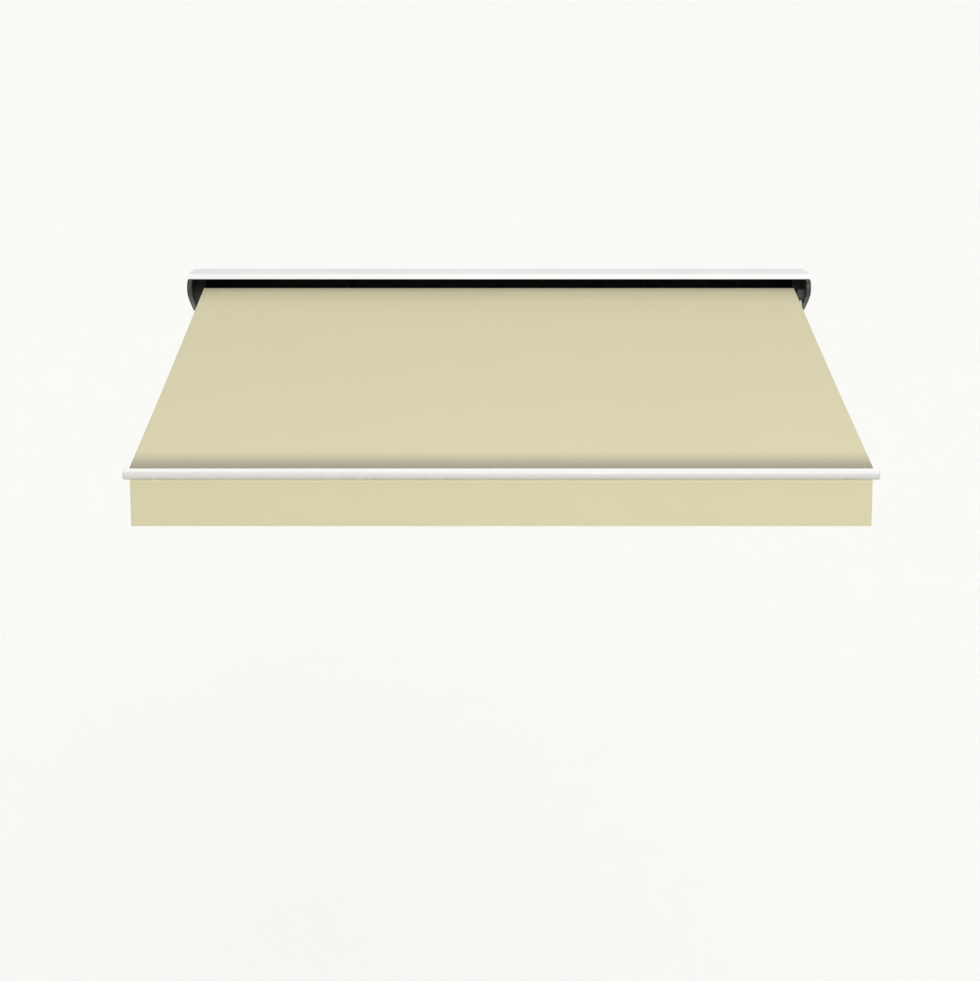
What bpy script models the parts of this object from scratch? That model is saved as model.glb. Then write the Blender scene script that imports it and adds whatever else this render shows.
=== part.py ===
"""A wall-hung folding-arm awning: hood, roller with its cloth, two sprung arms, front bar and valance.

Metres, +Z up. The wall is the plane y = 0 and the awning stands out from it towards -Y. The origin is
the middle wall bracket's back face, at the height of the square torsion bar. The awning is modelled
fully out. Side views are drawn as (depth, height), where depth is the distance from the wall. The arms
lie in a plane that slopes as the cloth does, so each arm is drawn flat in a pitched frame of its own.
"""
import math

import bmesh
import bpy
from mathutils import Vector
from mathutils.geometry import convex_hull_2d

# Driving dimensions
PITCH = math.radians(26.1)
ARM_LENGTH = 1.0
REST_ANGLE = math.radians(18.0)
SHOULDER_X = 1.30
SHOULDER_DEPTH = 0.150
SHOULDER_Z = -0.005
ROLLER_DEPTH = 0.108
ROLLER_Z = 0.0918
TUBE_RADIUS = 0.0315
TURNS_RADIUS = 0.034
CLOTH_WIDTH = 2.869
CLOTH_THICKNESS = 0.001
VALANCE_WIDTH = 2.862
VALANCE_FOOT = -0.9970
HOOD_WIDTH = 3.0
HOOD_SHEET = 0.0022
HOOD_CREST = 0.233
HOOD_FALL = 0.25
HOOD_BACK_FOOT = 0.105
HOOD_LIP_FOOT = 0.159
TORSION_BAR = 0.040
TORSION_DEPTH = 0.055
TORSION_LENGTH = 2.883
FRONT_BAR_LENGTH = 2.900
BRACKET_X = 1.15
SUPPORT_X = 0.75
GEAR_X = 1.466
CRANK_DEPTH = 0.136
BOLT_RADIUS = 0.0041
GAP = 0.0003

# Arm section: the tubes stand to one side of the pivots, so that the folded halves lie side by side
ARM_OFFSET = 0.024
ARM_WIDTH = 0.040
ARM_WALL = 0.0028
ARM_BORE_CORNER = 0.0082
PLUG_GAP = 0.0005
UPPER_HEIGHT = 0.050
FORE_HEIGHT = 0.044
NECK_LENGTH = 0.050
COLLAR_LENGTH = 0.008
PLUG_LENGTH = 0.035

# Front bar section, as (depth, height)
NOSE = (1.963, -0.7965)
NOSE_DEPTH = 0.027
NOSE_HEIGHT = 0.0215
FRONT_BAR_BACK = 1.915
FRONT_BAR_TOP = -0.7752
FRONT_BAR_UNDER = -0.8180
CLOTH_GROOVE = (1.9515, -0.7840)
VALANCE_GROOVE = (1.9600, -0.8110)
GROOVE_RADIUS = 0.0042

SIDES = {"left": -1, "right": 1}

WHITE = ((0.83, 0.84, 0.83), 0.35, 0.0)
CREAM = ((0.70, 0.65, 0.44), 0.90, 0.0)
CASTING = ((0.74, 0.75, 0.74), 0.45, 0.0)
STEEL = ((0.56, 0.57, 0.58), 0.35, 1.0)
GALVANISED = ((0.60, 0.62, 0.63), 0.50, 1.0)
DARK = ((0.020, 0.026, 0.022), 0.50, 0.0)
BLACK = ((0.012, 0.012, 0.012), 0.55, 0.0)


def side_view(depth, height, x):
    """A point of a side view, at x along the awning."""
    return Vector((x, -depth, height))


def plan_view(x, y, z):
    """A point of a plan view, at height z."""
    return Vector((x, y, z))


def end_view(x, z, y):
    """A point of a view from the front, at y."""
    return Vector((x, y, z))


def arc(centre, radius, start, stop, steps, squash=1.0):
    """Points of an arc from one angle to another, in degrees; squash scales its second axis."""
    angles = [math.radians(start + (stop - start) * n / steps) for n in range(steps + 1)]
    return [(centre[0] + radius * math.cos(a), centre[1] + radius * squash * math.sin(a)) for a in angles]


def circle(centre, radius, steps):
    """Points of a whole circle."""
    return arc(centre, radius, 0, 360 - 360 / steps, steps - 1)


def box_outline(left, right, low, high):
    """The four corners of a rectangle."""
    return [(left, low), (right, low), (right, high), (left, high)]


def rounded_outline(left, right, low, high, radius, steps):
    """A rectangle with round corners."""
    corners = (
        ((right - radius, high - radius), 0),
        ((left + radius, high - radius), 90),
        ((left + radius, low + radius), 180),
        ((right - radius, low + radius), 270),
    )
    return [point for centre, turn in corners for point in arc(centre, radius, turn, turn + 90, steps)]


def hull(*groups):
    """The convex outline round several groups of points."""
    points = [point for group in groups for point in group]
    return [points[n] for n in convex_hull_2d([Vector(p) for p in points])]


def strip(path, thickness):
    """The outline of a bent sheet: a path of its outer side and the same path set in by the thickness."""
    inner = []
    for n, point in enumerate(path):
        here = Vector(point)
        before = (here - Vector(path[n - 1])).normalized() if n else None
        after = (Vector(path[n + 1]) - here).normalized() if n + 1 < len(path) else None
        before, after = before or after, after or before
        across = (before.orthogonal() + after.orthogonal()).normalized()
        inner.append(tuple(here + across * thickness / across.dot(after.orthogonal())))
    return list(path) + inner[::-1]


def finish(piece, look):
    """Give a piece a material of its own."""
    colour, roughness, metallic = look
    material = bpy.data.materials.new(piece.name + "_finish")
    material.use_nodes = True
    shader = material.node_tree.nodes["Principled BSDF"]
    shader.inputs["Base Color"].default_value = (*colour, 1)
    shader.inputs["Roughness"].default_value = roughness
    shader.inputs["Metallic"].default_value = metallic
    piece.data.materials.append(material)


def add(name, mesh, look, parent=None, location=(0, 0, 0), smooth=False):
    """Make an object of a bmesh, closed and facing out, under its parent."""
    bmesh.ops.recalc_face_normals(mesh, faces=mesh.faces)
    data = bpy.data.meshes.new(name)
    mesh.to_mesh(data)
    mesh.free()
    if smooth:
        data.shade_smooth()
        data.set_sharp_from_angle(angle=math.radians(35))
    piece = bpy.data.objects.new(name, data)
    bpy.context.collection.objects.link(piece)
    piece.parent = parent
    piece.location = location
    if look:
        finish(piece, look)
    return piece


def prism(name, outline, start, stop, view, look=None, holes=(), **place):
    """A profile, with any holes, carried straight from start to stop."""
    mesh = bmesh.new()
    edges = []
    for loop in (outline, *holes):
        ring = [mesh.verts.new(view(a, b, start)) for a, b in loop]
        edges += [mesh.edges.new((ring[n - 1], ring[n])) for n in range(len(ring))]
    filled = bmesh.ops.triangle_fill(mesh, edges=edges, use_beauty=True)
    faces = [item for item in filled["geom"] if isinstance(item, bmesh.types.BMFace)]
    carried = bmesh.ops.extrude_face_region(mesh, geom=faces)
    ends = [item for item in carried["geom"] if isinstance(item, bmesh.types.BMVert)]
    bmesh.ops.translate(mesh, verts=ends, vec=view(0, 0, stop) - view(0, 0, start))
    return add(name, mesh, look, **place)


def turned(name, profile, steps, look=None, along_x=False, bored=False, **place):
    """A profile of (radius, height) points turned round Z, or round X; a bored one closes on itself."""
    mesh = bmesh.new()
    points = [mesh.verts.new((radius, 0, height)) for radius, height in profile]
    edges = [mesh.edges.new(pair) for pair in zip(points, points[1:])]
    if bored:
        edges.append(mesh.edges.new((points[-1], points[0])))
    bmesh.ops.spin(
        mesh, geom=points + edges, axis=(0, 0, 1), cent=(0, 0, 0), steps=steps, angle=math.tau, use_merge=True
    )
    bmesh.ops.remove_doubles(mesh, verts=mesh.verts, dist=1e-6)
    piece = add(name, mesh, look, smooth=True, **place)
    if along_x:
        piece.rotation_euler = (0, math.pi / 2, 0)
    return piece


def combine(piece, tool, operation):
    """Unite a piece with a hidden tool shape, or cut the tool out of it."""
    tool.hide_render = True
    tool.display_type = "WIRE"
    change = piece.modifiers.new(tool.name, "BOOLEAN")
    change.operation = operation
    change.solver = "EXACT"
    change.object = tool


def rod(radius, low, high):
    """The profile of a plain round rod, for turned()."""
    return [(0, low), (radius, low), (radius, high), (0, high)]


def ring(inner, outer, low, high):
    """The profile of a plain ring, for turned() with bored=True."""
    return [(inner, low), (outer, low), (outer, high), (inner, high)]


def empty(name, parent=None, location=(0, 0, 0), turn=(0, 0, 0)):
    """A frame that pieces are placed in."""
    frame = bpy.data.objects.new(name, None)
    bpy.context.collection.objects.link(frame)
    frame.parent = parent
    frame.location = location
    frame.rotation_euler = turn
    return frame


def torsion_bar():
    """The square steel tube that carries everything."""
    half, wall = TORSION_BAR / 2, 0.003
    near, far = TORSION_DEPTH - half, TORSION_DEPTH + half
    outer = rounded_outline(near, far, -half, half, 0.004, 2)
    inner = rounded_outline(near + wall, far - wall, wall - half, half - wall, 0.002, 1)
    prism("torsion_bar", outer, -TORSION_LENGTH / 2, TORSION_LENGTH / 2, side_view, GALVANISED, [inner])


def wall_bracket(place, x):
    """A wall plate with a seat that hooks under the torsion bar, and a bolted clamp in front."""
    seat_low, seat_high = -TORSION_BAR / 2 - GAP, TORSION_BAR / 2 + GAP
    back, front = TORSION_DEPTH - TORSION_BAR / 2 - GAP, TORSION_DEPTH + TORSION_BAR / 2 + GAP
    seat = [
        (0.004, -0.036), (0.083, -0.036), (0.083, -0.010), (front, -0.010), (front, seat_low),
        (back, seat_low), (back, seat_high), (front, seat_high), (front, 0.050), (0.004, 0.050),
    ]
    chamber = box_outline(0.013, 0.028, -0.028, 0.042)
    bracket = prism(
        f"wall_bracket_{place}", seat, x - 0.045, x + 0.045, side_view, WHITE, [chamber]
    )
    holes = [circle((x + dx, z), 0.006, 10) for dx in (-0.048, 0.048) for z in (-0.068, 0.068)]
    back_plate = prism(
        f"wall_plate_{place}", rounded_outline(x - 0.065, x + 0.065, -0.09, 0.09, 0.010, 3), 0, -0.008,
        end_view, holes=holes,
    )
    combine(bracket, back_plate, "UNION")

    clamp_back = front + GAP
    clamp_front = clamp_back + 0.007
    profile = [(clamp_back, -0.007), (clamp_front, -0.005), (clamp_front, 0.046), (clamp_back, 0.050)]
    clamp = prism(f"clamp_plate_{place}", profile, x - 0.042, x + 0.042, side_view, WHITE)
    axis = empty(f"bolt_axis_{place}", location=(x, -front, 0.036), turn=(math.pi / 2, 0, 0))
    for plate, start in ((clamp, -0.012), (bracket, -0.030)):
        bore = turned(f"{plate.name}_bore", rod(BOLT_RADIUS + GAP, start, 0.05), 12, parent=axis)
        combine(plate, bore, "DIFFERENCE")
    bolt = turned(f"clamp_bolt_{place}", rod(BOLT_RADIUS, -0.024, 0.009), 12, STEEL, parent=axis)
    head = prism(f"bolt_head_{place}", circle((0, 0), 0.0075, 6), 0.0079, 0.0129, plan_view, parent=axis)
    combine(bolt, head, "UNION")


def hood_slope(depth):
    """Height of the hood's top at a depth."""
    return HOOD_CREST - HOOD_FALL * depth


def hood():
    """A rolled aluminium sheet over the roller with a front lip, and a panel down the wall behind it."""
    half = HOOD_WIDTH / 2
    lip = arc((0.1925, hood_slope(0.1925) - 0.0077), 0.0075, 76, 0, 4)
    path = [(0.001, hood_slope(0.001)), *lip, (0.200, HOOD_LIP_FOOT)]
    prism("hood", strip(path, -HOOD_SHEET), -half, half, side_view, WHITE)
    back = 0.001 + HOOD_SHEET
    high = hood_slope(back) - 1.04 * HOOD_SHEET - GAP
    panel = box_outline(0.001, back, HOOD_BACK_FOOT, high)
    prism("hood_back", panel, -half, half, side_view, WHITE)


def hood_end_cap(side, sign):
    """A dish that closes the hood's end, rounded at the front and tapering back to the wall."""
    under = HOOD_SHEET * 1.04 + GAP
    outline = [
        (0.004, hood_slope(0.004) - under), (0.190, hood_slope(0.190) - under), (0.1970, 0.177),
        (0.1970, 0.1585), *arc((0.188, 0.118), 0.040, 68, -48, 7), (0.209, 0.0815),
        (0.182, 0.0690), (0.141, 0.0550), (0.057, 0.0320), (0.012, 0.0240), (0.004, 0.0300),
    ]
    outer = HOOD_WIDTH / 2
    mesh = bmesh.new()
    face = mesh.faces.new([mesh.verts.new(side_view(a, b, sign * outer)) for a, b in outline])
    bmesh.ops.recalc_face_normals(mesh, faces=[face])
    carried = bmesh.ops.extrude_face_region(mesh, geom=[face])
    moved = [item for item in carried["geom"] if isinstance(item, bmesh.types.BMVert)]
    floor = next(item for item in carried["geom"] if isinstance(item, bmesh.types.BMFace))
    bmesh.ops.translate(mesh, verts=moved, vec=(-sign * 0.022, 0, 0))
    bmesh.ops.inset_region(mesh, faces=[floor], thickness=0.003, use_even_offset=True)
    bmesh.ops.translate(mesh, verts=floor.verts, vec=(sign * 0.0185, 0, 0))
    add(f"hood_end_cap_{side}", mesh, DARK)


def hood_support(side, sign):
    """A bent arm from the torsion bar round the back of the roller to the hood."""
    under = HOOD_SHEET * 1.04 + GAP
    outline = [
        (0.008, TORSION_BAR / 2 + GAP), (0.078, TORSION_BAR / 2 + GAP), (0.078, 0.028), (0.034, 0.036),
        (0.024, 0.050), (0.024, 0.185), (0.034, 0.203), (0.060, 0.204), (0.188, hood_slope(0.188) - 0.011),
        (0.190, hood_slope(0.190) - under), (0.008, hood_slope(0.008) - under),
    ]
    x = sign * SUPPORT_X
    prism(f"hood_support_{side}", outline, x - 0.015, x + 0.015, side_view, DARK)


def roller_end_plate(side, sign):
    """A plate on the torsion bar's end that carries one end of the roller."""
    axle = (ROLLER_DEPTH, ROLLER_Z)
    outline = hull(box_outline(0.031, 0.079, -0.024, 0.024), circle(axle, 0.031, 20))
    bore = circle(axle, 0.0123 if side == "left" else 0.0090, 16)
    inner = TORSION_LENGTH / 2 + GAP
    ends = (sign * inner, sign * (inner + 0.005))
    prism(f"roller_end_plate_{side}", outline, *ends, side_view, GALVANISED, [bore])


def idler_bearing():
    """The plain bush at the undriven end."""
    low, high = TORSION_LENGTH / 2 - 0.0010, TORSION_LENGTH / 2 + 0.007
    turned(
        "idler_bearing", ring(0.0083, 0.0120, -high, -low), 20, BLACK, along_x=True, bored=True,
        location=(0, -ROLLER_DEPTH, ROLLER_Z),
    )


def gearbox():
    """The worm gear's case, open to the end plate, and its cover."""
    inner, outer = TORSION_LENGTH / 2 + 0.0056, 1.4850
    wall = 0.003
    outline = rounded_outline(0.081, 0.151, 0.064, 0.119, 0.009, 3)
    cavity = rounded_outline(0.081 + wall, 0.151 - wall, 0.064 + wall, 0.119 - wall, 0.006, 2)
    case = prism("gearbox_case", outline, inner, outer, side_view, BLACK, [cavity])
    bore = turned("crank_bore", rod(0.0056, 0.055, 0.075), 16, location=(GEAR_X, -CRANK_DEPTH, 0))
    combine(case, bore, "DIFFERENCE")
    prism("gearbox_cover", outline, outer + GAP, outer + 0.0035, side_view, BLACK)


def cloth_plane(depth):
    """Height of the cloth's under side at a depth."""
    reach = TURNS_RADIUS + GAP
    return ROLLER_Z + (reach - (depth - ROLLER_DEPTH) * math.sin(PITCH)) / math.cos(PITCH)


def canvas():
    """The cloth from the roller to the groove on top of the front bar."""
    start = ROLLER_DEPTH + (TURNS_RADIUS + GAP) * math.sin(PITCH)
    bend, groove = CLOTH_GROOVE[0] - 0.0035, CLOTH_GROOVE[0] - 0.0005
    under = [
        (start, cloth_plane(start)), (bend, cloth_plane(bend)), (groove, FRONT_BAR_TOP + 0.0002),
        (groove, FRONT_BAR_TOP - 0.0038),
    ]
    half = CLOTH_WIDTH / 2
    prism("canvas", strip(under[::-1], -CLOTH_THICKNESS), -half, half, side_view, CREAM)


def roller(frame):
    """The roller tube with its end plugs, the cloth wound on it and the driven wheel."""
    half = TORSION_LENGTH / 2 - 0.0035
    turned("roller_tube", ring(0.0300, TUBE_RADIUS, -half, half), 32, GALVANISED, True, True, parent=frame)
    turned(
        "canvas_turns", ring(TUBE_RADIUS + GAP, TURNS_RADIUS, -CLOTH_WIDTH / 2, CLOTH_WIDTH / 2), 32,
        CREAM, True, True, parent=frame,
    )
    for side, sign in SIDES.items():
        tip = 1.4835 if side == "right" else TORSION_LENGTH / 2 + 0.008
        steps = [(0, 1.400), (0.0295, 1.400), (0.0295, half - 0.001), (0.008, half), (0.008, tip), (0, tip)]
        plug = [(radius, sign * x) for radius, x in steps]
        turned(f"roller_plug_{side}", plug, 20, BLACK, along_x=True, parent=frame)
    teeth, outline = 20, []
    for tooth in range(teeth):
        at = 360 * tooth / teeth
        for radius, turn in ((0.0168, 0.0), (0.0168, 6.0), (0.0193, 8.5), (0.0193, 13.5)):
            outline += arc((ROLLER_DEPTH, ROLLER_Z), radius, at + turn, at + turn, 1)[:1]
    shift = (0, ROLLER_DEPTH, -ROLLER_Z)
    bore = circle((ROLLER_DEPTH, ROLLER_Z), 0.0084, 16)
    prism(
        "gear_wheel", outline, GEAR_X - 0.006, GEAR_X + 0.006, side_view, STEEL, [bore],
        parent=frame, location=shift,
    )


def crank(frame):
    """The worm and the eye that a crank handle hooks into."""
    ridges = []
    for turn in range(5):
        base = 0.076 + 0.006 * turn
        ridges += [(0.0062, base), (0.0080, base + 0.0015), (0.0080, base + 0.003), (0.0062, base + 0.0045)]
    turned(
        "worm", [(0.0054, 0.0745), (0.0062, 0.0745), *ridges, (0.0062, 0.108), (0.0054, 0.108)], 10,
        STEEL, bored=True, parent=frame,
    )
    eye = turned("crank_eye", rod(0.0050, 0.0270, 0.1120), 16, STEEL, parent=frame)
    loop = bmesh.new()
    section = circle((0.0125, 0), 0.0032, 8)
    points = [loop.verts.new((b, a, 0)) for a, b in section]
    edges = [loop.edges.new((points[n - 1], points[n])) for n in range(len(points))]
    bmesh.ops.spin(
        loop, geom=points + edges, axis=(1, 0, 0), cent=(0, 0, 0), steps=24, angle=math.tau, use_merge=True
    )
    bmesh.ops.remove_doubles(loop, verts=loop.verts, dist=1e-6)
    combine(eye, add("crank_loop", loop, None, parent=frame, location=(0, 0, 0.0145), smooth=True), "UNION")


def shoulder_bracket(side, sign, frame):
    """A cast clamp on the torsion bar with a fork for the upper arm."""
    inward = -sign
    x = sign * SHOULDER_X
    seat = TORSION_BAR / 2 + GAP
    block = [
        (0.022, -0.034), (0.084, -0.034), (0.092, -0.022), (0.092, 0.054), (0.074, 0.054), (0.045, 0.038),
        (0.022, 0.036),
    ]
    ends = sorted((x - inward * 0.036, x + inward * 0.024))
    bracket = prism(f"shoulder_bracket_{side}", block, *ends, side_view, CASTING)
    ears = hull(circle((0, 0), 0.023, 20), [(-inward * 0.0355, 0.080), (inward * 0.0235, 0.080)])
    combine(bracket, prism(f"shoulder_ears_{side}", ears, -0.0274, 0.0274, plan_view, parent=frame), "UNION")
    slot = [(-0.06, -0.06), (0.08, -0.06), (0.08, 0.058), (0.005, 0.058), (0.005, 0.026), (-0.06, 0.026)]
    mouth = [(inward * a, b) for a, b in slot]
    hole = box_outline(TORSION_DEPTH - seat, TORSION_DEPTH + seat, -seat, seat)
    cuts = (
        prism(f"shoulder_slot_{side}", mouth, -0.0204, 0.0204, plan_view, parent=frame),
        turned(f"shoulder_bore_{side}", rod(0.0083, -0.05, 0.05), 20, parent=frame),
        prism(f"shoulder_seat_{side}", hole, x - 0.1, x + 0.1, side_view),
    )
    for cut in cuts:
        combine(bracket, cut, "DIFFERENCE")
    pin = [(0, -0.0300), (0.008, -0.0300), (0.008, 0.0278), (0.0125, 0.0278), (0.0125, 0.0315), (0, 0.0325)]
    turned(f"shoulder_pin_{side}", pin, 20, STEEL, parent=frame)


def arm_end(name, frame, inward, pivot_y, radius, half_height, tube_half_height, along, look=CASTING):
    """A cast arm end: an eye round the pivot, a neck, a collar against the tube and a plug inside it.

    along is the direction from the pivot to the tube, +1 or -1 in the arm's Y.
    """
    low, high = ARM_OFFSET - ARM_WIDTH / 2, ARM_OFFSET + ARM_WIDTH / 2
    inset = ARM_WALL + PLUG_GAP
    neck_end = pivot_y + along * NECK_LENGTH

    def across(points):
        return [(inward * a, b) for a, b in points]

    body = hull(circle((0, pivot_y), radius, 24), across([(low, neck_end), (high, neck_end)]))
    piece = prism(name, body, -half_height, half_height, plan_view, look, parent=frame)
    collar_ends = (neck_end - along * 0.001, neck_end + along * COLLAR_LENGTH)
    collar = across(box_outline(low - 0.001, high + 0.001, *collar_ends))
    collar_half = tube_half_height + 0.001
    plug_half, corner = tube_half_height - inset, ARM_BORE_CORNER - PLUG_GAP
    plug = across(rounded_outline(low + inset, high - inset, -plug_half, plug_half, corner, 3))
    plug_ends = (neck_end, neck_end + along * (COLLAR_LENGTH + PLUG_LENGTH))
    more = (
        prism(f"{name}_collar", collar, -collar_half, collar_half, plan_view, parent=frame),
        prism(f"{name}_plug", plug, *plug_ends, end_view, parent=frame),
    )
    for shape in more:
        combine(piece, shape, "UNION")
    return piece


def arm_tube(name, frame, inward, height):
    """An aluminium tube between an arm's two cast ends."""
    low, high = sorted((inward * (ARM_OFFSET - ARM_WIDTH / 2), inward * (ARM_OFFSET + ARM_WIDTH / 2)))
    end = NECK_LENGTH + COLLAR_LENGTH + GAP
    outer = rounded_outline(low, high, -height / 2, height / 2, 0.011, 4)
    inner = rounded_outline(
        low + ARM_WALL, high - ARM_WALL, ARM_WALL - height / 2, height / 2 - ARM_WALL, ARM_BORE_CORNER, 3
    )
    prism(name, outer, -end, end - ARM_LENGTH, end_view, WHITE, [inner], parent=frame)


def arm_spring(name, frame, inward):
    """The tension spring inside the upper arm, stretched, as one coiled wire."""
    coils, per_turn, wire, radius = 16, 6, 0.0024, 0.0115
    start, length = -0.140, 0.420
    mesh = bmesh.new()
    rings = []
    for step in range(coils * per_turn + 1):
        turn = math.tau * step / per_turn
        out = Vector((math.cos(turn), 0, math.sin(turn)))
        at = Vector((inward * ARM_OFFSET, start - length * step / (coils * per_turn), 0)) + out * radius
        corners = [out * a + Vector((0, b, 0)) for a, b in circle((0, 0), wire, 4)]
        rings.append([mesh.verts.new(at + corner) for corner in corners])
    for one, other in zip(rings, rings[1:]):
        for n in range(4):
            mesh.faces.new((one[n - 1], one[n], other[n], other[n - 1]))
    mesh.faces.new(rings[0])
    mesh.faces.new(rings[-1])
    add(name, mesh, STEEL, parent=frame)


def upper_arm(side, sign, frame):
    """The half of an arm that turns on the shoulder, with the elbow fork and pin at its far end."""
    inward = -sign
    half = UPPER_HEIGHT / 2
    knuckle = arm_end(f"shoulder_knuckle_{side}", frame, inward, 0, 0.020, 0.020, half, -1)
    combine(knuckle, turned(f"knuckle_bore_{side}", rod(0.0083, -0.05, 0.05), 20, parent=frame), "DIFFERENCE")
    arm_tube(f"upper_arm_tube_{side}", frame, inward, UPPER_HEIGHT)
    arm_spring(f"arm_spring_{side}", frame, inward)

    elbow = arm_end(f"elbow_fork_{side}", frame, inward, -ARM_LENGTH, 0.022, 0.0236, half, 1)
    sweep = [(-0.005, 0.056), (-0.060, 0.056), (-0.060, -0.060), (0.045, -0.060)]
    slot = hull(circle((0, 0), 0.0215, 24), [(inward * a, b) for a, b in sweep])
    place = {"parent": frame, "location": (0, -ARM_LENGTH, 0)}
    combine(elbow, prism(f"elbow_slot_{side}", slot, -0.0154, 0.0154, plan_view, **place), "DIFFERENCE")
    combine(elbow, turned(f"elbow_bore_{side}", rod(0.0073, -0.05, 0.05), 20, **place), "DIFFERENCE")
    pin = [(0, -0.0262), (0.007, -0.0262), (0.007, 0.0239), (0.011, 0.0239), (0.011, 0.0270), (0, 0.0278)]
    turned(f"elbow_pin_{side}", pin, 20, STEEL, **place)


def forearm(side, sign, frame):
    """The half of an arm between the elbow and the wrist on the front bar."""
    inward = -sign
    half = FORE_HEIGHT / 2
    tongue = arm_end(f"elbow_tongue_{side}", frame, inward, 0, 0.020, 0.015, half, -1)
    combine(tongue, turned(f"tongue_bore_{side}", rod(0.0073, -0.05, 0.05), 20, parent=frame), "DIFFERENCE")
    arm_tube(f"forearm_tube_{side}", frame, inward, FORE_HEIGHT)
    wrist = arm_end(f"wrist_knuckle_{side}", frame, inward, -ARM_LENGTH, 0.016, 0.015, half, 1)
    bore = turned(
        f"wrist_bore_{side}", rod(0.0063, -0.05, 0.05), 16, parent=frame, location=(0, -ARM_LENGTH, 0)
    )
    combine(wrist, bore, "DIFFERENCE")


def wrist_bracket(side, sign, level, pitched, wrist):
    """A cast foot under the front bar with a fork for the forearm, and its pin."""
    inward = -sign
    x = sign * SHOULDER_X
    reach_low, reach_high, foot_half, ear_half = 0.047, 0.078, 0.0234, 0.0214

    def arm_side(reach, rise):
        """Depth and height of a point given along and across the arm plane, from the pivot."""
        forward, down = math.cos(PITCH), math.sin(PITCH)
        return (reach * forward + rise * down - wrist.y, wrist.z - reach * down + rise * forward)

    top = FRONT_BAR_UNDER - GAP
    foot = [
        arm_side(reach_low, -foot_half), arm_side(reach_high, -foot_half), arm_side(reach_high, foot_half),
        (1.953, top - 0.008), (1.953, top), (1.912, top), arm_side(reach_low, foot_half),
    ]
    ends = sorted((x - inward * 0.034, x + inward * 0.026))
    bracket = prism(
        f"wrist_bracket_{side}", foot, *ends, side_view, CASTING, parent=level, location=-wrist
    )
    place = {"parent": pitched, "location": (x - wrist.x, 0, 0)}
    ears = hull(circle((0, 0), 0.019, 20), [(-inward * 0.0315, -0.070), (inward * 0.0235, -0.070)])
    combine(bracket, prism(f"wrist_ears_{side}", ears, -ear_half, ear_half, plan_view, **place), "UNION")
    slot = [(-0.06, 0.06), (0.08, 0.06), (0.08, -0.046), (0.005, -0.046), (0.005, -0.022), (-0.06, -0.022)]
    mouth = [(inward * a, b) for a, b in slot]
    combine(bracket, prism(f"wrist_slot_{side}", mouth, -0.0154, 0.0154, plan_view, **place), "DIFFERENCE")
    combine(bracket, turned(f"wrist_eye_{side}", rod(0.0063, -0.05, 0.05), 16, **place), "DIFFERENCE")
    pin = [(0, -0.0235), (0.006, -0.0235), (0.006, 0.0217), (0.0095, 0.0217), (0.0095, 0.0245), (0, 0.0252)]
    turned(f"wrist_pin_{side}", pin, 16, STEEL, **place)


def nose_arc(shrink, spread, steps):
    """The round front of the bar's section, from its top to its bottom."""
    squash = (NOSE_HEIGHT - shrink) / (NOSE_DEPTH - shrink)
    return arc(NOSE, NOSE_DEPTH - shrink, spread, -spread, steps, squash)


def front_bar(level, wrist):
    """The extruded bar: a round nose, grooves for the cloth and the valance, and a slot for the arms."""
    back, top, under = FRONT_BAR_BACK, FRONT_BAR_TOP, FRONT_BAR_UNDER
    outline = [
        *nose_arc(0, 90, 12),
        (1.9615, under), *arc(VALANCE_GROOVE, GROOVE_RADIUS, -69, 249, 8), (1.9585, under),
        (1.9345, under), (1.9345, under + 0.002), (1.9385, under + 0.002), (1.9385, under + 0.008),
        (1.9205, under + 0.008), (1.9205, under + 0.002), (1.9245, under + 0.002), (1.9245, under),
        (back + 0.004, under), (back, under + 0.004), (back, -0.7930), (back + 0.005, -0.7790),
        (back + 0.011, top), (1.9500, top), *arc(CLOTH_GROOVE, GROOVE_RADIUS, 111, 429, 8), (1.9530, top),
    ]
    chambers = [
        nose_arc(0.0025, 72, 8),
        [
            (back + 0.003, -0.7940), (back + 0.0075, -0.7795), (back + 0.0125, top - 0.0025),
            (1.9450, top - 0.0025), (1.9450, -0.7900), (1.9530, -0.7960), (1.9530, under + 0.0023),
            (1.9410, under + 0.0023), (1.9410, under + 0.0105), (back + 0.003, under + 0.0105),
        ],
    ]
    half = FRONT_BAR_LENGTH / 2
    to_world = {"parent": level, "location": -wrist}
    prism("front_bar", outline, -half, half, side_view, WHITE, chambers, **to_world)
    lap = 0.0004
    cap = [
        *nose_arc(-lap, 90, 12), (back + 0.004, under - lap), (back - lap, under + 0.004),
        (back - lap, -0.7930), (back + 0.005 - lap, -0.7785), (back + 0.011, top + lap),
    ]
    for side, sign in SIDES.items():
        ends = (sign * (half + GAP), sign * (half + 0.0043))
        prism(f"front_bar_cap_{side}", cap, *ends, side_view, DARK, **to_world)
    for name, centre, width in (
        ("canvas_rod", CLOTH_GROOVE, CLOTH_WIDTH), ("valance_rod", VALANCE_GROOVE, VALANCE_WIDTH)
    ):
        place = {"parent": level, "location": side_view(*centre, 0) - wrist}
        turned(name, rod(0.0026, -width / 2, width / 2), 10, BLACK, along_x=True, **place)


def valance(level, wrist):
    """The cloth strip that hangs from the front bar, leaning slightly back."""
    top = VALANCE_GROOVE[0] + 0.0006
    path = [(top, VALANCE_GROOVE[1] - 0.0035), (top, FRONT_BAR_UNDER - 0.0010), (top - 0.0270, VALANCE_FOOT)]
    half = VALANCE_WIDTH / 2
    prism(
        "valance", strip(path, -0.0012), -half, half, side_view, CREAM, parent=level, location=-wrist
    )


def clear_scene():
    """Start from nothing."""
    for thing in list(bpy.data.objects):
        bpy.data.objects.remove(thing, do_unlink=True)


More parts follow.
